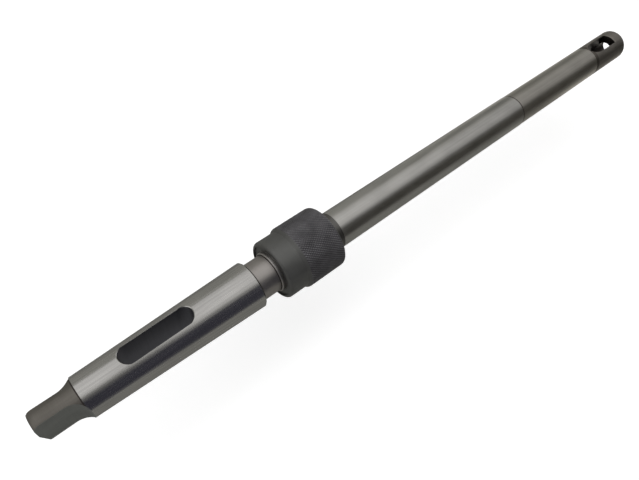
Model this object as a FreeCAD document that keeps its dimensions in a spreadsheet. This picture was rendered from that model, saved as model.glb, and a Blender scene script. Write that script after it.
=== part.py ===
"""Tool holder extension shaft: a turned steel shaft with a knurled collar.

The shaft lies along X. The origin is on its centre line, in the plane of the shoulder where
the taper shank ends. The tang is on the -X side, the tip with its socket on the +X side, and
the cross slot and the tip's window look up along Z.
"""

import FreeCAD, Part
import math
import os

import Sketcher

# Driving sizes in millimetres, the two angles in degrees
SIZES = (
    ("taper_length", 63.9),
    ("taper_large_dia", 18.0),
    ("taper_ratio", 20.02),
    ("shoulder_chamfer", 0.45),
    ("tang_length", 14.7),
    ("tang_relief", 0.74),
    ("tang_thickness", 5.7),
    ("tang_flat_length", 9.8),
    ("tang_runout_radius", 5.6),
    ("tang_blend_radius", 18.0),
    ("tang_step", 0.2),
    ("tang_end_round", 2.3),
    ("tang_bevel_length", 1.8),
    ("tang_bevel_height", 6.3),
    ("slot_length", 26.5),
    ("slot_width", 7.1),
    ("slot_setback", 23.25),
    ("slot_chamfer", 0.25),
    ("neck_relief", 0.7),
    ("neck_length", 7.7),
    ("lip_height", 0.35),
    ("lip_length", 1.5),
    ("lip_round", 0.45),
    ("seat_height", 0.1),
    ("seat_overrun", 4.2),
    ("shaft_dia", 15.0),
    ("shaft_length", 109.9),
    ("groove_width", 0.6),
    ("groove_depth", 0.25),
    ("pilot_dia", 14.8),
    ("pilot_length", 85.5),
    ("tip_chamfer", 0.4),
    ("ring_setback", 24.5),
    ("ring_width", 0.5),
    ("ring_depth", 0.12),
    ("socket_dia", 7.2),
    ("socket_depth", 27.0),
    ("socket_point_angle", 118.0),
    ("socket_chamfer", 0.3),
    ("window_width", 7.0),
    ("window_length", 18.6),
    ("window_setback", 6.5),
    ("window_slant", 38.0),
    ("window_chamfer", 0.3),
    ("collar_fit", 0.05),
    ("collar_recess_width", 2.55),
    ("collar_recess_depth", 0.6),
    ("collar_rim", 1.3),
    ("collar_round", 1.1),
    ("collar_front_length", 7.9),
    ("knurl_lead_length", 1.3),
    ("knurl_height", 1.0),
    ("knurl_length", 15.2),
    ("knurl_bevel", 0.4),
    ("knurl_bevel_length", 0.4),
)

# Places along the centre line, measured from the shoulder
CONE_END = "-Sizes.taper_length"
TANG_END = f"{CONE_END} - Sizes.tang_length"
FLAT_END = f"{TANG_END} + Sizes.tang_flat_length"
SLOT_NEAR = "-Sizes.slot_setback"
SLOT_FAR = f"{SLOT_NEAR} - Sizes.slot_length"
LIP_START = "Sizes.neck_length"
LIP_END = f"{LIP_START} + Sizes.lip_length"
COLLAR_START = f"{LIP_END} - Sizes.collar_recess_depth"
FRONT_END = f"{COLLAR_START} + Sizes.collar_front_length"
KNURL_START = f"{FRONT_END} + Sizes.knurl_lead_length"
KNURL_END = f"{KNURL_START} + Sizes.knurl_length"
COLLAR_END = f"{KNURL_END} + Sizes.knurl_bevel_length"
SEAT_END = f"{COLLAR_END} + Sizes.seat_overrun"
SHAFT_END = f"{SEAT_END} + Sizes.shaft_length"
TIP = f"{SHAFT_END} + Sizes.pilot_length"
RING = f"{TIP} - Sizes.ring_setback"
WINDOW_END = f"{TIP} - Sizes.window_setback"
WINDOW_START = f"{WINDOW_END} - Sizes.window_length"

# Radii
TAPER_LARGE_R = "Sizes.taper_large_dia / 2"
TAPER_SMALL_R = f"{TAPER_LARGE_R} - Sizes.taper_length / Sizes.taper_ratio / 2"
BLEND_TOP_R = f"{TAPER_SMALL_R} - Sizes.tang_step"
TANG_R = f"{TAPER_SMALL_R} - Sizes.tang_relief"
SHAFT_R = "Sizes.shaft_dia / 2"
SEAT_R = f"{SHAFT_R} + Sizes.seat_height"
LIP_R = f"{SEAT_R} + Sizes.lip_height"
NECK_R = f"{LIP_R} - Sizes.neck_relief"
PILOT_R = "Sizes.pilot_dia / 2"
SOCKET_R = "Sizes.socket_dia / 2"
COLLAR_BORE_R = f"{SEAT_R} + Sizes.collar_fit"
COLLAR_RECESS_R = f"{COLLAR_BORE_R} + Sizes.collar_recess_width"
COLLAR_FRONT_R = f"{COLLAR_RECESS_R} + Sizes.collar_rim"
KNURL_R = f"{COLLAR_FRONT_R} + Sizes.knurl_height"
BEVEL_R = f"{KNURL_R} - Sizes.knurl_bevel"

# The hollow arc that leaves the turned tang and rises to the end of the cone
BLEND_RISE = "(Sizes.tang_relief - Sizes.tang_step)"
BLEND_RUN = f"sqrt({BLEND_RISE} * (2 * Sizes.tang_blend_radius - {BLEND_RISE}))"
BLEND_START = f"{CONE_END} - {BLEND_RUN}"

# A rounding takes at most this share of the wall that it turns into
WALL_SHARE = 0.9
TANG_END_ROUND = f"min(Sizes.tang_end_round; {WALL_SHARE} * ({TANG_R}))"
LIP_ROUND = f"min(Sizes.lip_round; {WALL_SHARE} * Sizes.neck_relief)"
COLLAR_ROUND = f"min(Sizes.collar_round; {WALL_SHARE} * Sizes.collar_rim)"

ROOT = (-1, 1)
NEAR_ZERO = 1e-7
RIM_TOLERANCE = 1e-3

doc = FreeCAD.newDocument("ExtensionShaft")
sheet = doc.addObject("Spreadsheet::Sheet", "Sizes")
for row, (alias, value) in enumerate(SIZES, start=1):
    sheet.set(f"A{row}", alias)
    sheet.set(f"B{row}", str(value))
    sheet.setAlias(f"B{row}", alias)
doc.recompute()


def number(expression):
    """Give the value that an expression of the sheet has now."""
    return float(sheet.evalExpression(expression))


def taper_radius(setback):
    """Give the taper's radius, as an expression, at a distance from the shoulder."""
    return f"{TAPER_LARGE_R} - ({setback}) / Sizes.taper_ratio / 2"


def make_body(name):
    """Add a body whose label is the name of its piece."""
    body = doc.addObject("PartDesign::Body", name)
    body.Label = name
    return body


def plane_of(body, role):
    """Find one of a body's own three base planes."""
    return next(part for part in body.Origin.OriginFeatures if part.Role == role)


def make_sketch(body, name, role):
    """Add an empty sketch flat on a base plane of its body."""
    sketch = body.newObject("Sketcher::SketchObject", name)
    sketch.AttachmentSupport = (plane_of(body, role), [""])
    sketch.MapMode = "FlatFace"
    return sketch


def bind(sketch, constraint, name, expression):
    """Add a dimension to a sketch and tie it to an expression."""
    index = sketch.addConstraint(constraint)
    sketch.renameConstraint(index, name)
    sketch.setExpression(f"Constraints.{name}", expression)


def place_point(sketch, point, name, expressions):
    """Hold a sketch point at two expressions, each measured from the sketch's own axes."""
    for kind, axis, expression in zip(("DistanceX", "DistanceY"), (-2, -1), expressions):
        value = number(expression)
        label = f"{name}_{kind[-1].lower()}"
        if abs(value) < NEAR_ZERO:
            sketch.addConstraint(Sketcher.Constraint("PointOnObject", *point, axis))
        elif value > 0:
            bind(sketch, Sketcher.Constraint(kind, *ROOT, *point, value), label, expression)
        else:
            bind(sketch, Sketcher.Constraint(kind, *point, *ROOT, -value), label, f"-({expression})")


def bulging_arc(start, end, radius):
    """Give the arc of a radius that turns left on its way from one point to another."""
    chord = end - start
    half = chord.Length / 2
    left = FreeCAD.Vector(-chord.y, chord.x, 0).normalize()
    sagitta = radius - math.sqrt(radius * radius - half * half)
    return Part.Arc(start, (start + end) / 2 - left * sagitta, end)


def draw_outline(sketch, corners, name="corner", bends=None, hollows=()):
    """Draw a closed outline through corners that are pairs of expressions.

    A bend gives the radius of the arc that leads on from the corner of that number. The arc
    turns left, or right where the corner's number is also among the hollows.
    """
    bends = bends or {}
    points = [FreeCAD.Vector(number(along), number(across), 0) for along, across in corners]
    ends = []
    for index, start in enumerate(points):
        end = points[(index + 1) % len(points)]
        if index in bends:
            tips = (end, start) if index in hollows else (start, end)
            edge = sketch.addGeometry(bulging_arc(*tips, number(bends[index])))
            forward = sketch.Geometry[edge].StartPoint.distanceToPoint(start) < NEAR_ZERO
            ends.append(((edge, 1), (edge, 2)) if forward else ((edge, 2), (edge, 1)))
            bind(sketch, Sketcher.Constraint("Radius", edge, number(bends[index])),
                 f"{name}{index}_radius", bends[index])
        else:
            edge = sketch.addGeometry(Part.LineSegment(start, end))
            ends.append(((edge, 1), (edge, 2)))
    for index, corner in enumerate(corners):
        sketch.addConstraint(Sketcher.Constraint("Coincident", *ends[index - 1][1], *ends[index][0]))
        place_point(sketch, ends[index][0], f"{name}{index}", corner)


def turn(body, kind, name, sketch):
    """Turn a sketch once round the centre line, to add steel or to cut it."""
    feature = body.newObject(kind, name)
    feature.Profile = sketch
    feature.ReferenceAxis = (sketch, ["H_Axis"])
    feature.Angle = 360
    doc.recompute()
    return feature


def cut_through(body, name, sketch):
    """Cut a sketch right through the shaft, both ways from its plane."""
    pocket = body.newObject("PartDesign::Pocket", name)
    pocket.Profile = sketch
    pocket.SideType = "Symmetric"
    pocket.Type = "ThroughAll"
    doc.recompute()
    return pocket


def cut_outwards(body, name, sketch):
    """Cut a sketch from its plane out through the upper side of the shaft."""
    pocket = body.newObject("PartDesign::Pocket", name)
    pocket.Profile = sketch
    pocket.Reversed = True
    pocket.setExpression("Length", "2 * Sizes.pilot_dia")
    doc.recompute()
    return pocket


def circles_at(shape, along, radius):
    """Name the circular edges of a given place and radius on the centre line."""
    names = []
    for index, edge in enumerate(shape.Edges, start=1):
        curve = edge.Curve
        if not isinstance(curve, Part.Circle):
            continue
        if abs(curve.Center.x - along) < NEAR_ZERO and abs(curve.Radius - radius) < NEAR_ZERO:
            names.append(f"Edge{index}")
    return names


def round_edge(body, name, before, rounding, along, across):
    """Round the turned edge at one place and radius of the profile."""
    fillet = body.newObject("PartDesign::Fillet", name)
    fillet.Base = (before, circles_at(before.Shape, number(along), number(across)))
    fillet.setExpression("Radius", rounding)
    doc.recompute()
    return fillet


def break_rim(body, name, before, chamfer, span, radii):
    """Chamfer the edges that a cut has left on the turned skin.

    The span gives the cut's two ends along the centre line, and the radii those of the skin there.
    """
    low, high = (number(place) for place in span)
    low_radius, high_radius = (number(radius) for radius in radii)
    rim = []
    for index, edge in enumerate(before.Shape.Edges, start=1):
        box = edge.BoundBox
        middle = edge.valueAt((edge.FirstParameter + edge.LastParameter) / 2)
        share = (middle.x - low) / (high - low)
        skin = low_radius + share * (high_radius - low_radius)
        inside = box.XMin > low - RIM_TOLERANCE and box.XMax < high + RIM_TOLERANCE
        if inside and abs(math.hypot(middle.y, middle.z) - skin) < RIM_TOLERANCE:
            rim.append(f"Edge{index}")
    edge_break = body.newObject("PartDesign::Chamfer", name)
    edge_break.Base = (before, rim)
    edge_break.setExpression("Size", chamfer)
    doc.recompute()
    return edge_break


def turned_shaft(body):
    """Turn the whole shaft from one bar: tang, taper, neck, lip, seat, shaft and pilot."""
    sketch = make_sketch(body, "shaft_profile", "XZ_Plane")
    corners = (
        (TANG_END, "0"),
        (TIP, "0"),
        (TIP, f"{PILOT_R} - Sizes.tip_chamfer"),
        (f"{TIP} - Sizes.tip_chamfer", PILOT_R),
        (f"{SHAFT_END} + Sizes.groove_width / 2", PILOT_R),
        (SHAFT_END, f"{PILOT_R} - Sizes.groove_depth"),
        (f"{SHAFT_END} - Sizes.groove_width / 2", SHAFT_R),
        (SEAT_END, SHAFT_R),
        (SEAT_END, SEAT_R),
        (LIP_END, SEAT_R),
        (LIP_END, LIP_R),
        (LIP_START, LIP_R),
        (LIP_START, NECK_R),
        ("0", NECK_R),
        ("0", f"{TAPER_LARGE_R} - Sizes.shoulder_chamfer"),
        ("-Sizes.shoulder_chamfer", taper_radius("Sizes.shoulder_chamfer")),
        (CONE_END, TAPER_SMALL_R),
        (CONE_END, BLEND_TOP_R),
        (BLEND_START, TANG_R),
        (f"{TANG_END} + {TANG_END_ROUND}", TANG_R),
        (TANG_END, f"{TANG_R} - {TANG_END_ROUND}"),
    )
    blend = next(index for index, corner in enumerate(corners) if corner == (CONE_END, BLEND_TOP_R))
    rounding = len(corners) - 2
    draw_outline(sketch, corners, bends={blend: "Sizes.tang_blend_radius", rounding: TANG_END_ROUND},
                 hollows=(blend,))
    return turn(body, "PartDesign::Revolution", "turned_shaft", sketch)


def tang_flats(body):
    """Mill the two flats of the tang, each with the cutter's round run-out."""
    sketch = make_sketch(body, "tang_flats_outline", "XY_Plane")
    before_tang = f"{TANG_END} - {TANG_END_ROUND}"
    runout_end = f"{FLAT_END} + Sizes.tang_runout_radius"
    for name, sign in (("left", ""), ("right", "-")):
        flat = f"{sign}Sizes.tang_thickness / 2"
        runout_top = f"{sign}(Sizes.tang_thickness / 2 + Sizes.tang_runout_radius)"
        clear = f"{sign}(Sizes.taper_large_dia + Sizes.tang_runout_radius)"
        corners = [
            (before_tang, flat),
            (FLAT_END, flat),
            (runout_end, runout_top),
            (runout_end, clear),
            (before_tang, clear),
        ]
        first_arc = 1
        if sign:
            corners.reverse()
            first_arc = 2
        draw_outline(sketch, corners, name, bends={first_arc: "Sizes.tang_runout_radius"})
    return cut_through(body, "tang_flats", sketch)


def tang_bevel(body):
    """Grind off the lower corner of the tang's end."""
    sketch = make_sketch(body, "tang_bevel_outline", "XZ_Plane")
    end = f"({TANG_END})"
    length, height = "Sizes.tang_bevel_length", "Sizes.tang_bevel_height"
    corners = (
        (end, f"-({TANG_R}) + {height}"),
        (f"{end} - {length}", f"-({TANG_R}) + 2 * {height}"),
        (f"{end} - {length}", f"-({TANG_R}) - {height}"),
        (f"{end} + 2 * {length}", f"-({TANG_R}) - {height}"),
    )
    draw_outline(sketch, corners)
    return cut_through(body, "tang_bevel", sketch)


def cross_slot(body):
    """Mill the round-ended slot right through the taper."""
    sketch = make_sketch(body, "cross_slot_outline", "XY_Plane")
    radius = "Sizes.slot_width / 2"
    near = FreeCAD.Vector(number(f"{SLOT_NEAR} - {radius}"), 0, 0)
    far = FreeCAD.Vector(number(f"{SLOT_FAR} + {radius}"), 0, 0)
    side = FreeCAD.Vector(0, number(radius), 0)
    up = FreeCAD.Vector(0, 0, 1)
    quarter = math.pi / 2
    near_arc = sketch.addGeometry(
        Part.ArcOfCircle(Part.Circle(near, up, side.y), -quarter, quarter))
    far_arc = sketch.addGeometry(
        Part.ArcOfCircle(Part.Circle(far, up, side.y), quarter, 3 * quarter))
    top = sketch.addGeometry(Part.LineSegment(near + side, far + side))
    bottom = sketch.addGeometry(Part.LineSegment(far - side, near - side))
    for first, second in (((near_arc, 2), (top, 1)), ((top, 2), (far_arc, 1)),
                          ((far_arc, 2), (bottom, 1)), ((bottom, 2), (near_arc, 1))):
        sketch.addConstraint(Sketcher.Constraint("Tangent", *first, *second))
    sketch.addConstraint(Sketcher.Constraint("Equal", near_arc, far_arc))
    place_point(sketch, (near_arc, 3), "near_centre", (f"{SLOT_NEAR} - {radius}", "0"))
    place_point(sketch, (far_arc, 3), "far_centre", (f"{SLOT_FAR} + {radius}", "0"))
    bind(sketch, Sketcher.Constraint("Radius", near_arc, side.y), "end_radius", radius)
    slot = cut_through(body, "cross_slot", sketch)
    return break_rim(body, "slot_edge_break", slot, "Sizes.slot_chamfer",
                     (SLOT_FAR, SLOT_NEAR), (taper_radius("Sizes.slot_setback + Sizes.slot_length"),
                                             taper_radius("Sizes.slot_setback")))


def tip_socket(body):
    """Drill the blind socket into the tip, with the drill's point and a broken mouth edge."""
    sketch = make_sketch(body, "socket_profile", "XZ_Plane")
    bottom = f"{TIP} - Sizes.socket_depth"
    point = f"{bottom} - {SOCKET_R} / tan(Sizes.socket_point_angle / 2 * 1deg)"
    outside = f"{TIP} + Sizes.socket_chamfer"
    corners = (
        (point, "0"),
        (outside, "0"),
        (outside, f"{SOCKET_R} + 2 * Sizes.socket_chamfer"),
        (f"{TIP} - Sizes.socket_chamfer", SOCKET_R),
        (bottom, SOCKET_R),
    )
    draw_outline(sketch, corners)
    return turn(body, "PartDesign::Groove", "tip_socket", sketch)


def tip_window(body):
    """Cut the window into the socket: a leaning cutter makes its far end, and its near end is square."""
    half = "Sizes.window_width / 2"
    slant = "Sizes.window_slant * 1deg"
    lean_start = f"{WINDOW_START} + {half} / sin({slant})"
    wall_foot = f"sqrt(max(({SOCKET_R}) ^ 2 - ({half}) ^ 2; 0))"
    least_end = f"{lean_start} + {half}"
    lean_end = f"max({WINDOW_END} - ({PILOT_R} - {wall_foot}) / tan({slant}); {least_end})"

    leaning = make_sketch(body, "leaning_cut_outline", "XY_Plane")
    leaning.AttachmentOffset = FreeCAD.Placement(
        FreeCAD.Vector(), FreeCAD.Rotation(FreeCAD.Vector(0, -1, 0), number("90 - Sizes.window_slant")))
    leaning.setExpression("AttachmentOffset.Base.x", f"{lean_start} + {PILOT_R} / tan({slant})")
    leaning.setExpression("AttachmentOffset.Rotation.Angle", f"90deg - {slant}")
    travel = f"({lean_end} - ({lean_start})) * sin({slant})"
    corners = (
        ("0", half),
        (f"-{half}", "0"),
        ("0", f"-{half}"),
        (travel, f"-{half}"),
        (travel, half),
    )
    draw_outline(leaning, corners, bends={0: half, 1: half})
    cut_outwards(body, "window_leaning_cut", leaning)

    square = make_sketch(body, "square_cut_outline", "XY_Plane")
    corners = ((lean_end, f"-{half}"), (WINDOW_END, f"-{half}"), (WINDOW_END, half), (lean_end, half))
    draw_outline(square, corners)
    window = cut_outwards(body, "window_square_cut", square)
    return break_rim(body, "window_edge_break", window, "Sizes.window_chamfer",
                     (WINDOW_START, WINDOW_END), (PILOT_R, PILOT_R))


def ring_line(body):
    """Cut the fine ring line round the pilot, across the window's slanted end."""
    sketch = make_sketch(body, "ring_line_profile", "XZ_Plane")
    corners = (
        (RING, f"{PILOT_R} - Sizes.ring_depth"),
        (f"{RING} + Sizes.ring_width", f"{PILOT_R} + Sizes.ring_depth"),
        (f"{RING} - Sizes.ring_width", f"{PILOT_R} + Sizes.ring_depth"),
    )
    draw_outline(sketch, corners)
    return turn(body, "PartDesign::Groove", "ring_line", sketch)


def extension_shaft():
    """Make the shaft, which is one piece of steel."""
    body = make_body("extension_shaft")
    turned = turned_shaft(body)
    round_edge(body, "lip_round", turned, LIP_ROUND, LIP_START, LIP_R)
    tang_flats(body)
    tang_bevel(body)
    cross_slot(body)
    tip_socket(body)
    tip_window(body)
    ring_line(body)
    return body


def knurled_collar():
    """Make the ring that sits on the shaft, hard against the lip."""
    body = make_body("knurled_collar")
    sketch = make_sketch(body, "collar_profile", "XZ_Plane")
    corners = (
        (LIP_END, COLLAR_BORE_R),
        (COLLAR_END, COLLAR_BORE_R),
        (COLLAR_END, BEVEL_R),
        (KNURL_END, KNURL_R),
        (KNURL_START, KNURL_R),
        (FRONT_END, COLLAR_FRONT_R),
        (COLLAR_START, COLLAR_FRONT_R),
        (COLLAR_START, COLLAR_RECESS_R),
        (LIP_END, COLLAR_RECESS_R),
    )
    draw_outline(sketch, corners)
    ring = turn(body, "PartDesign::Revolution", "turned_ring", sketch)
    round_edge(body, "front_round", ring, COLLAR_ROUND, COLLAR_START, COLLAR_FRONT_R)
    return body


def check_cuts(body):
    """Stop if a feature that cuts has left the volume as it was."""
    volume = 0.0
    for feature in body.Group:
        if feature.isDerivedFrom("PartDesign::Feature"):
            smaller = feature.Shape.Volume < volume - NEAR_ZERO
            adds = feature.isDerivedFrom("PartDesign::Revolution")
            if not adds and not smaller:
                raise RuntimeError(f"{feature.Name} cuts nothing")
            volume = feature.Shape.Volume


def write_pieces(bodies):
    """Check every object of the document, then write one file for each piece."""
    doc.recompute()
    for item in doc.Objects:
        if "Invalid" in item.State or "Error" in item.State:
            raise RuntimeError(f"{item.Name} failed")
    os.makedirs("parts", exist_ok=True)
    for body in bodies:
        check_cuts(body)
        if body.Shape.isNull() or not body.Shape.isValid():
            raise RuntimeError(f"{body.Label} has no sound shape")
        body.Shape.exportStep(f"parts/{body.Label}.step")
        box = body.Shape.optimalBoundingBox()
        print(body.Label, f"{body.Shape.Volume:.1f} mm3",
              [round(side, 3) for side in (box.XMin, box.XMax, box.YMin, box.YMax, box.ZMin, box.ZMax)])


write_pieces([extension_shaft(), knurled_collar()])
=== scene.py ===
"""Looks of the tool holder extension shaft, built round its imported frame.

Each piece is modelled in millimetres along X, as the frame lies, and brought to metres at the end.
"""

import logging
import math
from collections.abc import Callable
from dataclasses import dataclass
from enum import Enum

import bmesh
import bpy
from mathutils import Matrix, Vector

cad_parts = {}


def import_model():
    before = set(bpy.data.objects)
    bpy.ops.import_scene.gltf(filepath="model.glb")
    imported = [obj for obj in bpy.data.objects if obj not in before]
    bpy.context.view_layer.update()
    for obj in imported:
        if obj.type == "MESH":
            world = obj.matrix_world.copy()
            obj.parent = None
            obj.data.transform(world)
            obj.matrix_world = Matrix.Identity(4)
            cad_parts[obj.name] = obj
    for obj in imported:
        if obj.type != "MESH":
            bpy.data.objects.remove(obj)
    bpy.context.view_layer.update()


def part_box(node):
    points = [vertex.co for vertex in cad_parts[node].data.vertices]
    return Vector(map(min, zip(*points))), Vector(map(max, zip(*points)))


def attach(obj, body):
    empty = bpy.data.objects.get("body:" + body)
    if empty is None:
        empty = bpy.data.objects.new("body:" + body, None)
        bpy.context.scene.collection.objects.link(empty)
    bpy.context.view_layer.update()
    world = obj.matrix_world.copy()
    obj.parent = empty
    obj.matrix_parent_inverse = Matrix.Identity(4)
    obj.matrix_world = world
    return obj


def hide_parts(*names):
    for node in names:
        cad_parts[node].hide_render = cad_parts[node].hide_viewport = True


LOG = logging.getLogger("extension_shaft")

MM = 0.001
MICROMETRE = 1e-6
ROOT_BODY = "root"
MERGE_DISTANCE = 1e-4
SMOOTH_ANGLE = math.radians(32)
KNURL_SHARP_ANGLE = math.radians(18)
STEEPEST_SKIN = 0.2

# Noise cycles to the millimetre along X, Y and Z
STREAK_GRAIN = (0.018, 1.4, 1.4)
PATCH_GRAIN = (0.09, 0.16, 0.16)
KNURL_GRAIN = (0.20, 0.24, 0.24)
MARK_GRAIN_ROUND = 0.02

# Most of a noise lies between these two
NOISE_LOW, NOISE_HIGH = 0.3, 0.7

# Spans of the small roundings and of the large round outlines
ROUNDING_STEPS = 10
LIP_STEPS = 6
FRONT_STEPS = 8
RUNOUT_STEPS = 24
OUTLINE_STEPS = 40
RIM_ROWS = 16

# How many times its own width a rim cutter goes on past the skin
RIM_OVERRUN = 3

Colour = tuple[float, float, float]
Point = tuple[float, float]


class Zone(Enum):
    """The stretches of the shaft that are finished differently, and its corners that are painted dark as
    shade.
    """

    TANG = "tang"
    TAPER = "taper"
    NECK = "neck"
    SEAT = "seat"
    SHAFT = "shaft"
    PILOT = "pilot"
    RING = "ring"
    TIP = "tip"
    LIP = "lip"
    FLAT = "flat"
    # Painted shade: the corners whose steel is coloured dark to stand in for their shade
    PAINTED_SHADE = "grime"
    SLOT = "slot"
    SOCKET = "socket"


@dataclass(frozen=True)
class SteelFinish:
    """A steel surface with marks round the shaft, streaks along it and a slow change of tone.

    The pitches are in millimetres, and the depth of the marks is in micrometres.
    """

    name: str
    colour: Colour
    tone_spread: float
    roughness: float
    roughness_spread: float
    metallic: float
    edge_tint: float
    mark_pitch: float
    mark_depth: float
    streak_strength: float

    def material(self) -> bpy.types.Material:
        """Build the finish as a node material.

        Returns:
            The material, which reads Object coordinates only.
        """
        material = bpy.data.materials.new(self.name)
        material.use_nodes = True
        graph = MaterialGraph(material)
        marks = graph.noise((1 / self.mark_pitch, MARK_GRAIN_ROUND, MARK_GRAIN_ROUND), detail=3.0)
        streaks = graph.noise(STREAK_GRAIN, detail=4.0)
        patches = graph.noise(PATCH_GRAIN, detail=5.0)
        tone = graph.blend(patches, streaks, self.streak_strength)
        low = tuple(channel * (1 - self.tone_spread) for channel in self.colour)
        high = tuple(channel * (1 + self.tone_spread) for channel in self.colour)
        graph.link(graph.ramp(tone, low, high), "Base Color")
        polish = graph.blend(marks, tone, 0.5)
        graph.link(graph.spread(polish, self.roughness, self.roughness_spread), "Roughness")
        graph.link(graph.bump(marks, self.mark_depth * MICROMETRE), "Normal")
        graph.shader.inputs["Metallic"].default_value = self.metallic
        tint = self.edge_tint
        graph.shader.inputs["Specular Tint"].default_value = (tint, tint, tint, 1.0)
        return material


@dataclass(frozen=True)
class KnurlFinish:
    """The blackened steel of the knurl, with lighter lines painted along one family of its ridges as the
    sheen that they catch.
    """

    name: str
    colour: Colour
    ridge_sheen_colour: Colour
    tone_spread: float
    ridge_sheen: float
    ridge_sheen_spread: float
    roughness: float
    roughness_spread: float
    metallic: float
    edge_tint: float

    def material(self, ridges_round: int, pitch: float, place: float) -> bpy.types.Material:
        """Build the finish as a node material.

        Args:
            ridges_round: how many ridges start round X.
            pitch: the way along X from one ridge to the next, in millimetres.
            place: where a groove crosses the top.

        Returns:
            The material, which reads Object coordinates only.
        """
        material = bpy.data.materials.new(self.name)
        material.use_nodes = True
        graph = MaterialGraph(material)
        patches = graph.noise(KNURL_GRAIN, detail=4.0)
        low = tuple(channel * (1 - self.tone_spread) for channel in self.colour)
        high = tuple(channel * (1 + self.tone_spread) for channel in self.colour)
        plain = graph.ramp(patches, low, high)
        # Painted sheen: the crests of one family of ridges are coloured lighter, as if they caught the
        # light
        crest = graph.calculate("POWER", graph.helix(ridges_round, pitch, place), 2.0)
        ridge_sheen = graph.calculate("MULTIPLY", crest, graph.spread(patches, self.ridge_sheen, self.ridge_sheen_spread))
        mix = graph.nodes.new("ShaderNodeMix")
        mix.data_type = "RGBA"
        graph.links.new(ridge_sheen, mix.inputs["Factor"])
        graph.links.new(plain, mix.inputs["A"])
        mix.inputs["B"].default_value = (*self.ridge_sheen_colour, 1.0)
        graph.link(mix.outputs["Result"], "Base Color")
        graph.link(graph.spread(patches, self.roughness, self.roughness_spread), "Roughness")
        graph.shader.inputs["Metallic"].default_value = self.metallic
        tint = self.edge_tint
        graph.shader.inputs["Specular Tint"].default_value = (tint, tint, tint, 1.0)
        return material


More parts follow.
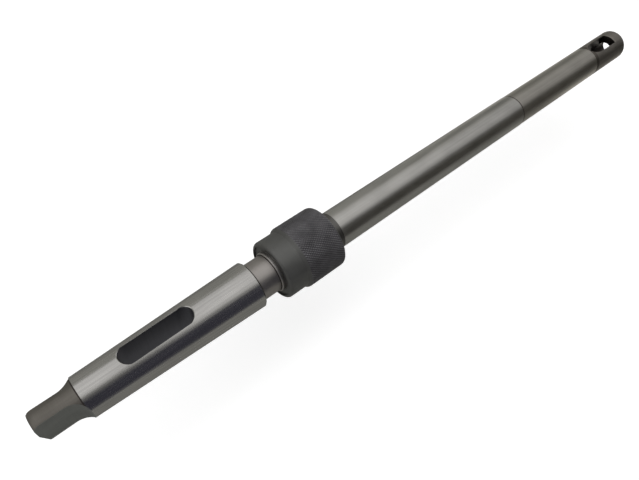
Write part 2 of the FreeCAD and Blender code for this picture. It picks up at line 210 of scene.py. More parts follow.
class MaterialGraph:
    """The nodes of one material, in millimetres of Object space."""

    def __init__(self, material: bpy.types.Material) -> None:
        """Start the graph of a material.

        Args:
            material: the material whose nodes are added.
        """
        self.nodes = material.node_tree.nodes
        self.links = material.node_tree.links
        self.shader = self.nodes["Principled BSDF"]
        place = self.nodes.new("ShaderNodeTexCoord")
        self.place = place.outputs["Object"]

    def link(self, output: bpy.types.NodeSocket, name: str) -> None:
        """Feed one of the shader's sockets."""
        self.links.new(output, self.shader.inputs[name])

    def noise(self, per_mm: tuple[float, float, float], detail: float) -> bpy.types.NodeSocket:
        """Add a noise that is stretched differently along each axis.

        Args:
            per_mm: cycles to the millimetre along X, Y and Z.
            detail: octaves of finer noise.

        Returns:
            The socket with the noise, from 0 to 1.
        """
        mapping = self.nodes.new("ShaderNodeMapping")
        mapping.inputs["Scale"].default_value = [scale / MM for scale in per_mm]
        self.links.new(self.place, mapping.inputs["Vector"])
        noise = self.nodes.new("ShaderNodeTexNoise")
        noise.inputs["Scale"].default_value = 1.0
        noise.inputs["Detail"].default_value = detail
        self.links.new(mapping.outputs["Vector"], noise.inputs["Vector"])
        return noise.outputs["Fac"]

    def blend(self, first: bpy.types.NodeSocket, second: bpy.types.NodeSocket,
              share: float) -> bpy.types.NodeSocket:
        """Mix two values.

        Args:
            first: the value at a share of 0.
            second: the value at a share of 1.
            share: how much of the second one shows.

        Returns:
            The socket with the mixed value.
        """
        mix = self.nodes.new("ShaderNodeMix")
        mix.inputs["Factor"].default_value = share
        self.links.new(first, mix.inputs["A"])
        self.links.new(second, mix.inputs["B"])
        return mix.outputs["Result"]

    def ramp(self, value: bpy.types.NodeSocket, low: Colour, high: Colour) -> bpy.types.NodeSocket:
        """Turn a noise into a colour between two others.

        Args:
            value: the noise, which stays near the middle of its range.
            low: the colour where the noise is low.
            high: the colour where the noise is high.

        Returns:
            The socket with the colour.
        """
        ramp = self.nodes.new("ShaderNodeValToRGB")
        first, last = ramp.color_ramp.elements
        first.position, last.position = NOISE_LOW, NOISE_HIGH
        first.color, last.color = (*low, 1.0), (*high, 1.0)
        self.links.new(value, ramp.inputs["Fac"])
        return ramp.outputs["Color"]

    def spread(self, value: bpy.types.NodeSocket, middle: float, reach: float) -> bpy.types.NodeSocket:
        """Spread a noise round a middle value.

        Args:
            value: the noise, which stays near the middle of its range.
            middle: what the noise gives on average.
            reach: how far the result goes from the middle.

        Returns:
            The socket with the result.
        """
        spread = self.nodes.new("ShaderNodeMapRange")
        spread.inputs["From Min"].default_value = NOISE_LOW
        spread.inputs["From Max"].default_value = NOISE_HIGH
        spread.inputs["To Min"].default_value = middle - reach
        spread.inputs["To Max"].default_value = middle + reach
        self.links.new(value, spread.inputs["Value"])
        return spread.outputs["Result"]

    def calculate(self, operation: str, first: bpy.types.NodeSocket,
                  second: bpy.types.NodeSocket | float = 0.0) -> bpy.types.NodeSocket:
        """Work out one step of arithmetic.

        Args:
            operation: the step, by its name in the Math node.
            first: the first value.
            second: the second value, a socket or a number.

        Returns:
            The socket with the result.
        """
        step = self.nodes.new("ShaderNodeMath")
        step.operation = operation
        self.links.new(first, step.inputs[0])
        if isinstance(second, float):
            step.inputs[1].default_value = second
        else:
            self.links.new(second, step.inputs[1])
        return step.outputs["Value"]

    def helix(self, ridges_round: int, pitch: float, place: float) -> bpy.types.NodeSocket:
        """Wind ridges round X.

        Args:
            ridges_round: how many ridges start round the form.
            pitch: the way along X from one ridge to the next.
            place: where a groove crosses the top of the form.

        Returns:
            The socket with the height, from 0 in the grooves to 1 on the ridges.
        """
        split = self.nodes.new("ShaderNodeSeparateXYZ")
        self.links.new(self.place, split.inputs["Vector"])
        along, across, up = (split.outputs[axis] for axis in "XYZ")
        turn = self.calculate("MULTIPLY", self.calculate("ARCTAN2", across, up), float(ridges_round))
        past = self.calculate("SUBTRACT", along, place * MM)
        way = self.calculate("MULTIPLY", past, math.tau / (pitch * MM))
        wave = self.calculate("COSINE", self.calculate("ADD", turn, way))
        return self.calculate("MULTIPLY", self.calculate("SUBTRACT", wave, 1.0), -0.5)

    def bump(self, height: bpy.types.NodeSocket, depth: float) -> bpy.types.NodeSocket:
        """Raise a value as fine relief.

        Args:
            height: the value, from 0 to 1.
            depth: the relief's depth in metres.

        Returns:
            The socket with the bent normal.
        """
        bump = self.nodes.new("ShaderNodeBump")
        bump.inputs["Distance"].default_value = depth
        self.links.new(height, bump.inputs["Height"])
        return bump.outputs["Normal"]


GROUND = SteelFinish(
    "ground_taper_steel", colour=(0.41, 0.40, 0.385), tone_spread=0.15, roughness=0.24,
    roughness_spread=0.06, metallic=1.0, edge_tint=0.7, mark_pitch=0.25, mark_depth=0.4,
    streak_strength=0.7)
TURNED = SteelFinish(
    "turned_tang_steel", colour=(0.175, 0.163, 0.145), tone_spread=0.18, roughness=0.55,
    roughness_spread=0.08, metallic=1.0, edge_tint=0.7, mark_pitch=0.35, mark_depth=4.0,
    streak_strength=0.3)
FLAT = SteelFinish(
    "milled_flat_steel", colour=(0.265, 0.27, 0.262), tone_spread=0.18, roughness=0.50,
    roughness_spread=0.08, metallic=1.0, edge_tint=0.7, mark_pitch=0.50, mark_depth=4.0,
    streak_strength=0.3)
NECK = SteelFinish(
    "turned_neck_steel", colour=(0.35, 0.328, 0.31), tone_spread=0.12, roughness=0.42,
    roughness_spread=0.06, metallic=1.0, edge_tint=0.7, mark_pitch=0.30, mark_depth=2.0,
    streak_strength=0.2)
LIP = SteelFinish(
    "bright_lip_steel", colour=(0.37, 0.353, 0.337), tone_spread=0.10, roughness=0.45,
    roughness_spread=0.06, metallic=1.0, edge_tint=0.7, mark_pitch=0.30, mark_depth=1.0,
    streak_strength=0.2)
# The seat beside the collar is coloured about a third as bright as the shaft
SEAT = SteelFinish(
    "dark_seat_steel", colour=(0.135, 0.13, 0.123), tone_spread=0.15, roughness=0.45,
    roughness_spread=0.06, metallic=1.0, edge_tint=0.7, mark_pitch=0.30, mark_depth=2.0,
    streak_strength=0.2)
SHAFT = SteelFinish(
    "ground_shaft_steel", colour=(0.41, 0.40, 0.38), tone_spread=0.15, roughness=0.34,
    roughness_spread=0.06, metallic=1.0, edge_tint=0.7, mark_pitch=0.25, mark_depth=1.0,
    streak_strength=0.5)
PILOT = SteelFinish(
    "ground_pilot_steel", colour=(0.35, 0.333, 0.303), tone_spread=0.15, roughness=0.38,
    roughness_spread=0.06, metallic=1.0, edge_tint=0.7, mark_pitch=0.25, mark_depth=1.0,
    streak_strength=0.5)
RING_LINE = SteelFinish(
    "ring_line_steel", colour=(0.125, 0.113, 0.099), tone_spread=0.12, roughness=0.48,
    roughness_spread=0.05, metallic=1.0, edge_tint=0.7, mark_pitch=0.25, mark_depth=1.5,
    streak_strength=0.3)
# The tip beyond the ring line is coloured darker than the pilot
TIP = SteelFinish(
    "dark_tip_steel", colour=(0.215, 0.199, 0.179), tone_spread=0.22, roughness=0.52,
    roughness_spread=0.06, metallic=1.0, edge_tint=0.7, mark_pitch=0.25, mark_depth=1.5,
    streak_strength=0.4)
# Painted shade: a near-black finish on the rings at the tang's step, the neck's ends and the groove
PAINTED_SHADE = SteelFinish(
    "corner_grime", colour=(0.045, 0.038, 0.034), tone_spread=0.25, roughness=0.60,
    roughness_spread=0.08, metallic=0.6, edge_tint=0.8, mark_pitch=0.60, mark_depth=3.0,
    streak_strength=0.2)
MILLED = SteelFinish(
    "milled_slot_steel", colour=(0.13, 0.13, 0.15), tone_spread=0.15, roughness=0.50,
    roughness_spread=0.08, metallic=1.0, edge_tint=0.8, mark_pitch=0.60, mark_depth=4.0,
    streak_strength=0.3)
# Painted shade: the socket and the window's walls are coloured near black for the shade inside the hole
SHADED_BORE = SteelFinish(
    "shaded_socket_steel", colour=(0.06, 0.051, 0.046), tone_spread=0.25, roughness=0.45,
    roughness_spread=0.08, metallic=1.0, edge_tint=0.8, mark_pitch=0.50, mark_depth=4.0,
    streak_strength=0.3)
BLACKENED = SteelFinish(
    "blackened_collar_steel", colour=(0.118, 0.118, 0.113), tone_spread=0.16, roughness=0.50,
    roughness_spread=0.07, metallic=0.7, edge_tint=0.8, mark_pitch=0.40, mark_depth=3.0,
    streak_strength=0.1)
# Painted sheen: the knurl's ridge lines are coloured lighter as their highlight
KNURLED = KnurlFinish(
    "blackened_knurl_steel", colour=(0.076, 0.073, 0.077), ridge_sheen_colour=(0.20, 0.195, 0.205),
    tone_spread=0.2, ridge_sheen=0.6, ridge_sheen_spread=0.4, roughness=0.50, roughness_spread=0.06, metallic=0.7,
    edge_tint=0.8)

ZONE_FINISH = {
    Zone.TANG: TURNED,
    Zone.TAPER: GROUND,
    Zone.NECK: NECK,
    Zone.SEAT: SEAT,
    Zone.SHAFT: SHAFT,
    Zone.PILOT: PILOT,
    Zone.RING: RING_LINE,
    Zone.TIP: TIP,
    Zone.LIP: LIP,
    Zone.FLAT: FLAT,
    Zone.PAINTED_SHADE: PAINTED_SHADE,
    Zone.SLOT: MILLED,
    Zone.SOCKET: SHADED_BORE,
}


def arc(centre: Point, radius: float, start: float, end: float, steps: int) -> list[Point]:
    """Give points on an arc.

    Args:
        centre: the arc's centre.
        radius: the arc's radius.
        start: the angle of the first point in degrees.
        end: the angle of the last point in degrees.
        steps: the number of spans between points.

    Returns:
        The points, the first and the last included.
    """
    across, up = centre
    angles = [math.radians(start + (end - start) * step / steps) for step in range(steps + 1)]
    return [(across + radius * math.cos(angle), up + radius * math.sin(angle)) for angle in angles]


def turned_form(profile: list[Point], steps: int) -> bmesh.types.BMesh:
    """Spin a profile once round X.

    Args:
        profile: pairs of place along X and radius.
        steps: the number of facets round the form.

    Returns:
        The new bmesh, with its faces outwards.
    """
    form = bmesh.new()
    points = [form.verts.new((along, 0.0, radius)) for along, radius in profile]
    edges = [form.edges.new(pair) for pair in zip(points, points[1:])]
    bmesh.ops.spin(form, geom=points + edges, axis=(1, 0, 0), cent=(0, 0, 0), dvec=(0, 0, 0),
                   angle=math.tau, steps=steps, use_merge=True)
    bmesh.ops.remove_doubles(form, verts=form.verts, dist=MERGE_DISTANCE)
    bmesh.ops.recalc_face_normals(form, faces=form.faces)
    return form


def prism(outline: list[Vector], travel: Callable[[Vector], Vector]) -> bmesh.types.BMesh:
    """Extrude an outline into a closed form whose far end may be another shape.

    Args:
        outline: the corners of the near end, in order.
        travel: gives each corner's way to the far end.

    Returns:
        The new bmesh, with its faces outwards.
    """
    form = bmesh.new()
    near = form.faces.new([form.verts.new(point) for point in outline])
    grown = bmesh.ops.extrude_face_region(form, geom=[near], use_keep_orig=True)
    for item in grown["geom"]:
        if isinstance(item, bmesh.types.BMVert):
            item.co += travel(item.co)
    bmesh.ops.recalc_face_normals(form, faces=form.faces)
    return form


def mesh_object(form: bmesh.types.BMesh, name: str,
                materials: list[bpy.types.Material]) -> bpy.types.Object:
    """Turn a bmesh into an object of the scene and free it.

    Args:
        form: the bmesh.
        name: the object's name.
        materials: the object's material slots, in order.

    Returns:
        The object.
    """
    mesh = bpy.data.meshes.new(name)
    form.to_mesh(mesh)
    form.free()
    for material in materials:
        mesh.materials.append(material)
    made = bpy.data.objects.new(name, mesh)
    bpy.context.scene.collection.objects.link(made)
    return made


def cut_away(piece: bpy.types.Object, cutter: bmesh.types.BMesh, material: bpy.types.Material) -> None:
    """Cut a form out of a piece, and finish what is cut with the material.

    Args:
        piece: the object that is cut.
        cutter: the form that is taken away.
        material: the finish of the new faces.
    """
    tool = mesh_object(cutter, "cutter", [material])
    cut = piece.modifiers.new("cut", "BOOLEAN")
    cut.operation = "DIFFERENCE"
    cut.solver = "EXACT"
    cut.material_mode = "TRANSFER"
    cut.object = tool
    graph = bpy.context.evaluated_depsgraph_get()
    whole = piece.data
    piece.data = bpy.data.meshes.new_from_object(piece.evaluated_get(graph))
    piece.modifiers.clear()
    bpy.data.meshes.remove(whole)
    spent = tool.data
    bpy.data.objects.remove(tool)
    bpy.data.meshes.remove(spent)


def turn_normals(mesh: bpy.types.Mesh, round_slots: set[int]) -> None:
    """Shade a mesh smooth, with true round normals on its long turned skins.

    Args:
        mesh: the mesh, which lies along X.
        round_slots: the material slots whose faces lie on those skins.
    """
    mesh.shade_smooth()
    mesh.set_sharp_from_angle(angle=SMOOTH_ANGLE)
    normals = [corner.vector.copy() for corner in mesh.corner_normals]
    for face in mesh.polygons:
        slope = face.normal.x
        if face.material_index not in round_slots or abs(slope) > STEEPEST_SKIN:
            continue
        for corner in face.loop_indices:
            point = mesh.vertices[mesh.loops[corner].vertex_index].co
            out = Vector((0.0, point.y, point.z)).normalized() * math.sqrt(1 - slope * slope)
            if out.dot(face.normal) > 0:
                normals[corner] = Vector((slope, out.y, out.z))
    mesh.normals_split_custom_set(normals)


def adopt(piece: bpy.types.Object, node: str) -> None:
    """Set a finished piece in place of its node.

    Args:
        piece: the finished object.
        node: the node that it stands for.
    """
    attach(piece, ROOT_BODY)
    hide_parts(node)
    LOG.info("%s: %d faces", piece.name, len(piece.data.polygons))


@dataclass
class Shaft:
    """The one-piece shaft, in millimetres from the shoulder of its taper."""

    tang_end: float
    tip: float
    facets: int = 192
    taper_length: float = 63.9
    taper_large_radius: float = 9.0
    taper_ratio: float = 20.02
    shoulder_chamfer: float = 0.45
    tang_radius: float = 6.664
    tang_step: float = 0.2
    tang_blend_radius: float = 18.0
    tang_half_thickness: float = 2.85
    tang_flat_length: float = 9.8
    tang_runout_radius: float = 5.6
    tang_end_round: float = 2.3
    tang_bevel_length: float = 1.8
    tang_bevel_height: float = 6.3
    slot_near: float = -23.25
    slot_length: float = 26.5
    slot_half_width: float = 3.55
    slot_chamfer: float = 0.25
    neck_radius: float = 7.25
    neck_length: float = 7.7
    lip_radius: float = 7.95
    lip_length: float = 1.5
    lip_round: float = 0.45
    seat_radius: float = 7.6
    seat_start: float = 33.4
    seat_end: float = 37.6
    shaft_radius: float = 7.5
    shaft_end: float = 147.5
    groove_half_width: float = 0.3
    groove_depth: float = 0.25
    pilot_radius: float = 7.4
    tip_chamfer: float = 0.4
    ring_setback: float = 24.5
    ring_half_width: float = 0.25
    ring_depth: float = 0.12
    socket_radius: float = 3.6
    socket_depth: float = 27.0
    socket_point_angle: float = 118.0
    socket_chamfer: float = 0.3
    window_half_width: float = 3.5
    window_length: float = 18.6
    window_setback: float = 6.5
    window_slant: float = math.radians(38.0)
    window_chamfer: float = 0.3
    # The width of the rings painted dark as shade at the tang's step and the neck's foot
    dark_line: float = 0.45
    ring_shade: float = 1.1

    @property
    def reach(self) -> float:
        """The way that the cutters go past the centre line."""
        return 2 * self.taper_large_radius

    def taper_radius(self, along: float) -> float:
        """Give the taper's radius at a place."""
        return self.taper_large_radius + along / self.taper_ratio / 2

    def profile(self) -> list[Point]:
        """Give the turned outline from the tang's end round the tip to the socket's point."""
        cone_end = -self.taper_length
        cone_radius = self.taper_radius(cone_end)
        rise = cone_radius - self.tang_step - self.tang_radius
        turn = math.degrees(math.acos(1 - rise / self.tang_blend_radius))
        blend_start = cone_end - self.tang_blend_radius * math.sin(math.radians(turn))
        centre = (blend_start, self.tang_radius + self.tang_blend_radius)
        end_centre = (self.tang_end + self.tang_end_round, self.tang_radius - self.tang_end_round)
        lip_start = self.neck_length
        lip_end = lip_start + self.lip_length
        lip_centre = (lip_start + self.lip_round, self.lip_radius - self.lip_round)
        ring = self.tip - self.ring_setback
        socket_end = self.tip - self.socket_depth
        point = socket_end - self.socket_radius / math.tan(math.radians(self.socket_point_angle / 2))
        return [
            (self.tang_end, 0.0),
            *arc(end_centre, self.tang_end_round, 180, 90, ROUNDING_STEPS),
            *arc(centre, self.tang_blend_radius, -90, -90 + turn, ROUNDING_STEPS),
            (cone_end, cone_radius),
            (-self.shoulder_chamfer, self.taper_radius(-self.shoulder_chamfer)),
            (0.0, self.taper_large_radius - self.shoulder_chamfer),
            (0.0, self.neck_radius),
            (self.dark_line, self.neck_radius),
            (lip_start - self.dark_line / 2, self.neck_radius),
            (lip_start, self.neck_radius),
            *arc(lip_centre, self.lip_round, 180, 90, LIP_STEPS),
            (lip_end, self.lip_radius),
            (lip_end, self.seat_radius),
            (self.seat_start, self.seat_radius),
            (self.seat_end, self.seat_radius),
            (self.seat_end, self.shaft_radius),
            (self.shaft_end - self.groove_half_width, self.shaft_radius),
            (self.shaft_end, self.pilot_radius - self.groove_depth),
            (self.shaft_end + self.groove_half_width, self.pilot_radius),
            (ring - self.ring_shade, self.pilot_radius),
            (ring - self.ring_half_width, self.pilot_radius),
            (ring, self.pilot_radius - self.ring_depth),
            (ring + self.ring_half_width, self.pilot_radius),
            (ring + self.ring_shade, self.pilot_radius),
            (self.tip - self.tip_chamfer, self.pilot_radius),
            (self.tip, self.pilot_radius - self.tip_chamfer),
            (self.tip, self.socket_radius + self.socket_chamfer),
            (self.tip - self.socket_chamfer, self.socket_radius),
            (socket_end, self.socket_radius),
            (point, 0.0),
        ]

    def in_shade(self, along: float, radius: float) -> bool:
        """Say whether a place on the skin lies in one of the corners where shade is painted as dark steel.
        """
        cone_end = -self.taper_length
        lip_corner = self.neck_length - self.dark_line / 2
        on_lip = abs(along - self.neck_length) < MERGE_DISTANCE
        return (cone_end - self.dark_line < along < cone_end + MERGE_DISTANCE
                or -MERGE_DISTANCE < along < self.dark_line
                or lip_corner < along and (along < self.neck_length or on_lip and radius < self.lip_radius)
                or abs(along - self.shaft_end) < self.groove_half_width)

    def zone_at(self, centre: Vector) -> Zone:
        """Name the zone of a turned face.

        Args:
            centre: the face's centre.

        Returns:
            The zone, by its place along the shaft and its distance from the centre line.
        """
        along, radius = centre.x, math.hypot(centre.y, centre.z)
        ring = self.tip - self.ring_setback
        if radius < self.socket_radius + self.socket_chamfer / 2 and along > 0:
            return Zone.SOCKET
        if self.in_shade(along, radius):
            return Zone.PAINTED_SHADE
        ends = ((-self.taper_length, Zone.TANG), (0.0, Zone.TAPER),
                (self.neck_length - MERGE_DISTANCE, Zone.NECK),
                (self.neck_length + self.lip_length, Zone.LIP),
                (self.seat_start, Zone.SHAFT), (self.seat_end + MERGE_DISTANCE, Zone.SEAT),
                (self.shaft_end, Zone.SHAFT), (ring - self.ring_shade, Zone.PILOT),
                (ring + self.ring_shade, Zone.RING), (math.inf, Zone.TIP))
        return next(zone for end, zone in ends if along < end)

    def flat_cutter(self, side: int) -> bmesh.types.BMesh:
        """Make the form that one flat of the tang leaves, with its round run-out.

        Args:
            side: 1 for the left flat and -1 for the right one.

        Returns:
            The form.
        """
        reach = self.reach
        flat_end = self.tang_end + self.tang_flat_length
        radius = self.tang_runout_radius
        centre = (flat_end, self.tang_half_thickness + radius)
        path = [(self.tang_end - reach, self.tang_half_thickness),
                *arc(centre, radius, -90, 0, RUNOUT_STEPS),
                (flat_end + radius, reach), (self.tang_end - reach, reach)]
        outline = [Vector((along, side * across, -reach)) for along, across in path]
        return prism(outline, lambda point: Vector((0, 0, 2 * reach)))

    def bevel_cutter(self) -> bmesh.types.BMesh:
        """Make the form that grinds off the lower corner of the tang's end."""
        length, height, reach = self.tang_bevel_length, self.tang_bevel_height, self.reach
        foot = -self.tang_radius
        outline = [(0.0, foot + height), (-length, foot + 2 * height), (-length, foot - height),
                   (2 * length, foot - height)]
        return prism([Vector((self.tang_end + along, -reach, up)) for along, up in outline],
                     lambda point: Vector((0, 2 * reach, 0)))

    def slot_outline(self) -> list[Point]:
        """Give the round-ended outline of the cross slot, seen along Z."""
        radius = self.slot_half_width
        near = (self.slot_near - radius, 0.0)
        far = (self.slot_near - self.slot_length + radius, 0.0)
        return arc(near, radius, -90, 90, OUTLINE_STEPS) + arc(far, radius, 90, 270, OUTLINE_STEPS)

    def window_rim(self, depth: float) -> list[Point]:
        """Give the window's outline on the skin, seen along Z.

        Args:
            depth: how far below the skin the outline lies.

        Returns:
            The outline, whose slanted end moves with the height because its cutter leaned.
        """
        half = self.window_half_width
        end = self.tip - self.window_setback
        stretch = 1 / math.sin(self.window_slant)
        start = end - self.window_length + half * stretch
        lean = []
        for along, across in arc((0, 0), half, 90, 270, OUTLINE_STEPS):
            below = self.pilot_radius - self.pilot_skin(0.0, across) + depth
            lean.append((start + along * stretch + below / math.tan(self.window_slant), across))
        return [*lean, *((end, half * (2 * row / RIM_ROWS - 1)) for row in range(RIM_ROWS + 1))]

    def window_cutters(self) -> list[bmesh.types.BMesh]:
        """Make the forms of the window's two cuts, the leaning one and the square one."""
        half, top = self.window_half_width, 2 * self.pilot_radius
        fall = 1 / math.tan(self.window_slant)
        stretch = 1 / math.sin(self.window_slant)
        wall_foot = math.sqrt(self.socket_radius ** 2 - half ** 2)
        end = self.tip - self.window_setback
        lean_start = end - self.window_length + half * stretch + self.pilot_radius * fall
        lean_end = end - (self.pilot_radius - wall_foot) * fall
        round_end = [(lean_start + along * stretch, across)
                     for along, across in arc((0, 0), half, 90, 270, OUTLINE_STEPS)]
        far = lean_end + self.pilot_radius * fall
        leaning = [*round_end, (far, -half), (far, half)]
        square = [(lean_end, half), (lean_end, -half), (end, -half), (end, half)]
        ways = Vector((-top * fall, 0, top)), Vector((0, 0, top))
        return [prism([Vector((*point, 0.0)) for point in outline], lambda point, way=way: way)
                for outline, way in zip((leaning, square), ways)]

    @staticmethod
    def rim_cutter(foot: list[Point], mouth: list[Point], skin: Callable[[float, float], float],
                   chamfer: float, side: int) -> bmesh.types.BMesh:
        """Make the form that breaks the rim of a cut.

        Args:
            foot: the cut's outline at the depth of the chamfer.
            mouth: the cut's outline at the skin.
            skin: gives the skin's height over a point.
            chamfer: the width of the chamfer.
            side: 1 for the rim that looks up and -1 for the one that looks down.

        Returns:
            The form, which widens from the foot past the mouth.
        """
        count = len(mouth)
        lower, upper = [], []
        for index, (low, high) in enumerate(zip(foot, mouth)):
            before, after = Vector(mouth[index - 1]), Vector(mouth[(index + 1) % count])
            here = Vector(high)
            sides = [(here - before).normalized(), (after - here).normalized()]
            out = sum((Vector((way.y, -way.x)) for way in sides), Vector((0.0, 0.0))).normalized()
            height = skin(*high)
            low_point = Vector((*low, height - chamfer))
            high_point = Vector((*(here + out * chamfer), height))
            lower.append(low_point)
            upper.append(low_point + RIM_OVERRUN * (high_point - low_point))
        form = bmesh.new()
        loops = []
        for ring in (lower, upper):
            points = [form.verts.new((point.x, point.y, side * point.z)) for point in ring]
            loops.append([form.edges.new((points[step - 1], points[step])) for step in range(count)])
            form.faces.new(points)
        bmesh.ops.bridge_loops(form, edges=loops[0] + loops[1])
        bmesh.ops.recalc_face_normals(form, faces=form.faces)
        return form

    def taper_skin(self, along: float, across: float) -> float:
        """Give the height of the taper's skin over a point."""
        return math.sqrt(self.taper_radius(along) ** 2 - across ** 2)

    def pilot_skin(self, along: float, across: float) -> float:
        """Give the height of the pilot's skin over a point."""
        return math.sqrt(self.pilot_radius ** 2 - across ** 2)

    def build(self) -> bpy.types.Object:
        """Turn the shaft, make its cuts and dress each zone.

        Returns:
            The finished shaft.
        """
        zones = list(Zone)
        materials = {zone: ZONE_FINISH[zone].material() for zone in zones}
        form = turned_form(self.profile(), self.facets)
        for face in form.faces:
            face.material_index = zones.index(self.zone_at(face.calc_center_median()))
        piece = mesh_object(form, "tool_shaft", [materials[zone] for zone in zones])
        for side in (1, -1):
            cut_away(piece, self.flat_cutter(side), materials[Zone.FLAT])
        cut_away(piece, self.bevel_cutter(), materials[Zone.TANG])
        reach = self.reach
        slot = self.slot_outline()
        cut_away(piece, prism([Vector((*point, -reach)) for point in slot],
                              lambda point: Vector((0, 0, 2 * reach))), materials[Zone.SLOT])
        for side in (1, -1):
            cut_away(piece, self.rim_cutter(slot, slot, self.taper_skin, self.slot_chamfer, side),
                     materials[Zone.TAPER])
        for cutter in self.window_cutters():
            cut_away(piece, cutter, materials[Zone.SOCKET])
        chamfer = self.window_chamfer
        cut_away(piece, self.rim_cutter(self.window_rim(chamfer), self.window_rim(0.0),
                                        self.pilot_skin, chamfer, 1), materials[Zone.TIP])
        piece.data.transform(Matrix.Scale(MM, 4))
        names = [material.name for material in piece.data.materials]
        flat_zones = (Zone.TANG, Zone.FLAT, Zone.SLOT, Zone.SOCKET)
        skins = {names.index(materials[zone].name) for zone in zones if zone not in flat_zones}
        turn_normals(piece.data, skins)
        adopt(piece, "extension_shaft")
        return piece


@dataclass
class Collar:
    """The knurled ring, in millimetres from the shoulder of the shaft's taper."""

    start: float
    end: float
    bore_radius: float = 7.65
    recess_radius: float = 10.2
    recess_depth: float = 0.6
    front_radius: float = 11.5
    front_round: float = 1.1
    front_end: float = 16.5
    knurl_radius: float = 12.5
    knurl_start: float = 17.8
    knurl_end: float = 33.0
    bevel_radius: float = 12.1
    knurl_depth: float = 0.17
    knurl_flat: float = 0.12
    diamonds_round: int = 80
    half_rows: int = 24

    @property
    def groove_radius(self) -> float:
        """The radius at the foot of the knurl's grooves."""
        return self.knurl_radius - self.knurl_depth

    @property
    def band(self) -> tuple[float, float]:
        """The places where the knurl's grooves run out on the two slopes beside it."""
        lead = (self.knurl_start - self.front_end) / (self.knurl_radius - self.front_radius)
        fall = (self.end - self.knurl_end) / (self.knurl_radius - self.bevel_radius)
        return self.knurl_start - lead * self.knurl_depth, self.knurl_end + fall * self.knurl_depth

    def crest(self, along: float) -> float:
        """Give the radius of the band's uncut skin at a place."""
        first, last = self.band
        lead = (along - first) / (self.knurl_start - first)
        fall = (last - along) / (last - self.knurl_end)
        return self.groove_radius + self.knurl_depth * min(1.0, lead, fall)

    def plain_form(self) -> bmesh.types.BMesh:
        """Turn the ring without its knurled band."""
        first, last = self.band
        rounding = (self.start + self.front_round, self.front_radius - self.front_round)
        return turned_form([
            (last, self.groove_radius),
            (self.end, self.bevel_radius),
            (self.end, self.bore_radius),
            (self.start + self.recess_depth, self.bore_radius),
            (self.start + self.recess_depth, self.recess_radius),
            (self.start, self.recess_radius),
            *arc(rounding, self.front_round, 180, 90, FRONT_STEPS),
            (self.front_end, self.front_radius),
            (first, self.groove_radius),
        ], 2 * self.diamonds_round)

    def add_knurl(self, form: bmesh.types.BMesh) -> None:
        """Add the diamond band between the two open rims of the ring.

        Args:
            form: the ring, which gets the band's faces.
        """
        first, last = self.band
        columns = 2 * self.diamonds_round
        grid = bmesh.ops.create_grid(
            form, x_segments=self.half_rows, y_segments=columns, size=1.0)["verts"]
        feet, crests = [], []
        for vert in grid:
            row = round((vert.co.x + 1) / 2 * self.half_rows)
            column = round((vert.co.y + 1) / 2 * columns)
            along = first + (last - first) * row / self.half_rows
            on_foot = (row + column) % 2 == 0
            radius = self.groove_radius if on_foot else self.crest(along)
            turn = math.tau * column / columns
            vert.co = (along, radius * math.sin(turn), radius * math.cos(turn))
            (feet if on_foot else crests).append(vert)
        bmesh.ops.connect_verts(form, verts=feet)
        inner = [vert for vert in crests if first + MERGE_DISTANCE < vert.co.x < last - MERGE_DISTANCE]
        bmesh.ops.remove_doubles(form, verts=form.verts, dist=MERGE_DISTANCE)
        inner = [vert for vert in inner if vert.is_valid]
        bmesh.ops.bevel(form, geom=inner, offset=self.knurl_flat, affect="VERTICES", segments=1,
                        profile=0.5, material=-1, clamp_overlap=True)

    def build(self) -> bpy.types.Object:
        """Make the ring and dress it.

        Returns:
            The finished collar.
        """
        form = self.plain_form()
        self.add_knurl(form)
        bmesh.ops.remove_doubles(form, verts=form.verts, dist=MERGE_DISTANCE)
        bmesh.ops.recalc_face_normals(form, faces=form.faces)
        first, last = self.band
        knurl = KNURLED.material(self.diamonds_round, 2 * (last - first) / self.half_rows, first)
        for face in form.faces:
            centre = face.calc_center_median()
            on_band = first < centre.x < last and math.hypot(centre.y, centre.z) > self.front_radius
            face.material_index = int(on_band)
        piece = mesh_object(form, "knurled_ring", [BLACKENED.material(), knurl])
        piece.data.transform(Matrix.Scale(MM, 4))
        piece.data.shade_smooth()
        piece.data.set_sharp_from_angle(angle=KNURL_SHARP_ANGLE)
        adopt(piece, "knurled_collar")
        return piece


@dataclass(frozen=True)
class Card:
    """A matt card of the studio, with its stretch along X and the one across that, in millimetres."""

    name: str
    along: tuple[float, float]
    across: tuple[float, float]
    tone: Colour


FLOOR_HEIGHT = -40.0
CARD_FOOT = FLOOR_HEIGHT + 1.0

# Upright cards in front, from the floor upwards
FRONT_WALL = -140.0
FRONT_CARDS = (
    Card("cool_flag", (-500, 80), (CARD_FOOT, 124), (0.062, 0.062, 0.082)),
    Card("warm_flag", (80, 900), (CARD_FOOT, 124), (0.058, 0.054, 0.046)),
    Card("left_shade", (-500, -15), (124, 170), (0.17, 0.17, 0.17)),
    Card("left_veil", (-500, -15), (170, 250), (0.32, 0.32, 0.315)),
    Card("left_gauze", (-500, -15), (250, 340), (0.62, 0.62, 0.61)),
    Card("lower_shade", (-15, 900), (124, 170), (0.30, 0.30, 0.30)),
    Card("upper_shade", (-15, 900), (170, 230), (0.62, 0.62, 0.61)),
)

# Upright cards behind, from the floor upwards
BACK_WALL = 300.0
BACK_CARDS = (
    Card("back_card", (-700, 330), (CARD_FOOT, 350), (0.41, 0.41, 0.385)),
    Card("far_back_card", (330, 900), (CARD_FOOT, 350), (0.30, 0.30, 0.28)),
    Card("back_shade", (150, 1600), (350, 600), (0.68, 0.68, 0.66)),
)

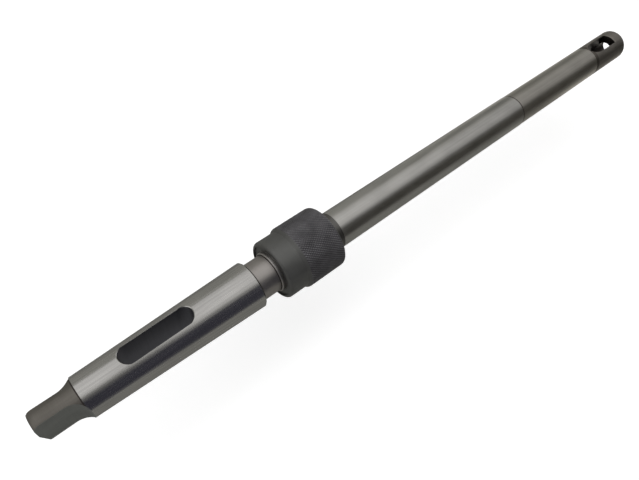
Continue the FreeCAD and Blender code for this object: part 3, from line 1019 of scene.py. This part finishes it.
# Cards lying just over the floor, from the front backwards
FLOOR_CARDS = (
    Card("near_floor", (-300, 110), (FRONT_WALL, 299), (0.335, 0.335, 0.315)),
    Card("mid_floor", (110, 175), (FRONT_WALL, 299), (0.35, 0.35, 0.33)),
    Card("front_floor", (175, 600), (FRONT_WALL, -42), (0.24, 0.235, 0.22)),
    Card("tip_floor", (175, 228), (-42, 299), (0.48, 0.475, 0.445)),
    Card("far_floor", (228, 600), (-42, 299), (1.0, 0.98, 0.91)),
)

# Cards lying high over the far end, from the front backwards
CEILING = 600.0
HIGH_CARDS = (
    Card("high_shade", (520, 600), (-900, 1100), (0.80, 0.80, 0.80)),
    Card("far_shade", (600, 720), (-900, 1100), (0.63, 0.63, 0.63)),
    Card("last_shade", (720, 2600), (-900, 1100), (0.51, 0.51, 0.51)),
)


@dataclass
class Studio:
    """The camera, the pale floor and the soft light, in millimetres and degrees."""

    view_tilt: float = 28.0
    view_swing: float = 24.66
    view_roll: float = 33.76
    aim_along: float = 31.2
    aim_drop: float = 0.28
    distance: float = 209.2
    focal_pixels: float = 560.0
    frame_pixels: float = 639.0
    sensor_width: float = 36.0
    nearest_seen: float = 10.0
    lamp_along: float = 70.0
    lamp_across: float = -21.0
    lamp_height: float = 620.0
    lamp_size: tuple[float, float] = (1500.0, 763.0)
    lamp_power: float = 3.6
    floor_half_width: float = 3000.0
    floor_tone: float = 0.8
    floor_roughness: float = 0.9
    floor_seen: float = 0.52
    room_seen: float = 1.0
    room_light: float = 0.35

    def camera(self) -> None:
        """Set up the camera at the photograph's place."""
        tilt, swing = math.radians(self.view_tilt), math.radians(self.view_swing)
        roll = math.radians(self.view_roll)
        along = Vector((1, 0, 0))
        across = Vector((0, math.cos(tilt), math.sin(tilt)))
        facing = Vector((0, -math.sin(tilt), math.cos(tilt)))
        level = along * math.cos(swing) + facing * math.sin(swing)
        back = facing * math.cos(swing) - along * math.sin(swing)
        right = level * math.cos(roll) - across * math.sin(roll)
        up = level * math.sin(roll) + across * math.cos(roll)
        place = along * self.aim_along + back * self.distance - across * self.aim_drop
        lens = bpy.data.cameras.new("camera")
        lens.sensor_width = self.sensor_width
        lens.lens = lens.sensor_width * self.focal_pixels / self.frame_pixels
        lens.clip_start = self.nearest_seen * MM
        camera = bpy.data.objects.new("camera", lens)
        turn = Matrix((right, up, back)).transposed().to_4x4()
        camera.matrix_world = Matrix.Translation(place * MM) @ turn
        bpy.context.scene.collection.objects.link(camera)
        bpy.context.scene.camera = camera

    def lamp(self) -> None:
        """Hang the soft rectangular lamp, which looks straight down."""
        light = bpy.data.lights.new("overhead", "AREA")
        light.shape = "RECTANGLE"
        light.size, light.size_y = (side * MM for side in self.lamp_size)
        light.energy = self.lamp_power
        lamp = bpy.data.objects.new("overhead", light)
        lamp.location = Vector((self.lamp_along, self.lamp_across, self.lamp_height)) * MM
        lamp.visible_glossy = False
        bpy.context.scene.collection.objects.link(lamp)

    def place_card(self, card: Card, near: Vector, far: Vector) -> None:
        """Place a card that only the steel's reflections see, to shade the white room.

        Args:
            card: the card, which gives the name and the tone.
            near: one corner.
            far: the corner across from it, at the same place along one of the three axes.
        """
        form = bmesh.new()
        bmesh.ops.create_grid(form, x_segments=1, y_segments=1, size=0.5)
        span = far - near
        if span.y == 0:
            bmesh.ops.rotate(form, matrix=Matrix.Rotation(math.pi / 2, 3, "X"), verts=form.verts)
        bmesh.ops.scale(form, vec=span, verts=form.verts)
        bmesh.ops.translate(form, vec=(near + far) / 2, verts=form.verts)
        material = bpy.data.materials.new(card.name)
        material.use_nodes = True
        shader = material.node_tree.nodes["Principled BSDF"]
        shader.inputs["Base Color"].default_value = (0.0, 0.0, 0.0, 1.0)
        shader.inputs["Specular IOR Level"].default_value = 0.0
        shader.inputs["Emission Color"].default_value = (*card.tone, 1.0)
        shader.inputs["Emission Strength"].default_value = 1.0
        sheet = mesh_object(form, card.name, [material])
        sheet.data.transform(Matrix.Scale(MM, 4))
        sheet.visible_camera = False
        sheet.visible_diffuse = False
        sheet.visible_shadow = False

    def cards(self) -> None:
        """Place the upright cards in front and behind, and the ones that lie low and high."""
        for wall, cards in ((FRONT_WALL, FRONT_CARDS), (BACK_WALL, BACK_CARDS)):
            for card in cards:
                near, far = (Vector((along, wall, up)) for along, up in zip(card.along, card.across))
                self.place_card(card, near, far)
        for height, cards in ((CARD_FOOT, FLOOR_CARDS), (CEILING, HIGH_CARDS)):
            for card in cards:
                near, far = (Vector((*corner, height)) for corner in zip(card.along, card.across))
                self.place_card(card, near, far)

    def floor(self) -> None:
        """Lay the pale floor, which shows as white and keeps the shaft's shadow."""
        form = bmesh.new()
        bmesh.ops.create_grid(form, x_segments=1, y_segments=1, size=self.floor_half_width)
        bmesh.ops.translate(form, vec=(0, 0, FLOOR_HEIGHT), verts=form.verts)
        material = bpy.data.materials.new("pale_floor")
        material.use_nodes = True
        nodes, links = material.node_tree.nodes, material.node_tree.links
        shader = nodes["Principled BSDF"]
        tone = self.floor_tone
        shader.inputs["Base Color"].default_value = (tone, tone, tone, 1.0)
        shader.inputs["Roughness"].default_value = self.floor_roughness
        shader.inputs["Specular IOR Level"].default_value = 0.0
        shader.inputs["Emission Color"].default_value = (1.0, 1.0, 1.0, 1.0)
        links.new(seen_ray(nodes, links, self.floor_seen), shader.inputs["Emission Strength"])
        floor = mesh_object(form, "pale_floor", [material])
        floor.data.transform(Matrix.Scale(MM, 4))

    def world(self) -> None:
        """Fill the room with a soft light, and show it as white."""
        world = bpy.data.worlds.new("studio")
        bpy.context.scene.world = world
        world.use_nodes = True
        nodes, links = world.node_tree.nodes, world.node_tree.links
        background = nodes["Background"]
        background.inputs["Color"].default_value = (1.0, 1.0, 1.0, 1.0)
        spread = nodes.new("ShaderNodeMapRange")
        spread.inputs["To Min"].default_value = self.room_light
        spread.inputs["To Max"].default_value = self.room_seen
        links.new(seen_ray(nodes, links, 1.0), spread.inputs["Value"])
        links.new(spread.outputs["Result"], background.inputs["Strength"])

    def build(self) -> None:
        """Set the whole studio up."""
        self.camera()
        self.floor()
        self.world()
        self.lamp()
        self.cards()
        bpy.context.scene.view_settings.view_transform = "Standard"


def seen_ray(nodes: bpy.types.Nodes, links: bpy.types.NodeLinks, strength: float) -> bpy.types.NodeSocket:
    """Give a strength to the rays that see a surface, straight or in a mirror or glass.

    Args:
        nodes: the nodes of the material or world.
        links: their links.
        strength: what such a ray gets.

    Returns:
        The socket with the strength, which is 0 for every other ray.
    """
    path = nodes.new("ShaderNodeLightPath")
    total = path.outputs["Is Camera Ray"]
    for kind in ("Is Glossy Ray", "Is Transmission Ray"):
        either = nodes.new("ShaderNodeMath")
        either.operation = "MAXIMUM"
        links.new(total, either.inputs[0])
        links.new(path.outputs[kind], either.inputs[1])
        total = either.outputs["Value"]
    scaled = nodes.new("ShaderNodeMath")
    scaled.operation = "MULTIPLY"
    scaled.inputs[1].default_value = strength
    links.new(total, scaled.inputs[0])
    return scaled.outputs["Value"]


def main() -> None:
    """Load the frame, build the pieces and the studio, and note both boxes."""
    logging.basicConfig(level=logging.INFO, format="%(message)s")
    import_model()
    shaft_low, shaft_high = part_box("extension_shaft")
    collar_low, collar_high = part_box("knurled_collar")
    Shaft(tang_end=shaft_low.x / MM, tip=shaft_high.x / MM).build()
    Collar(start=collar_low.x / MM, end=collar_high.x / MM).build()
    Studio().build()


if __name__ == "__main__":
    main()
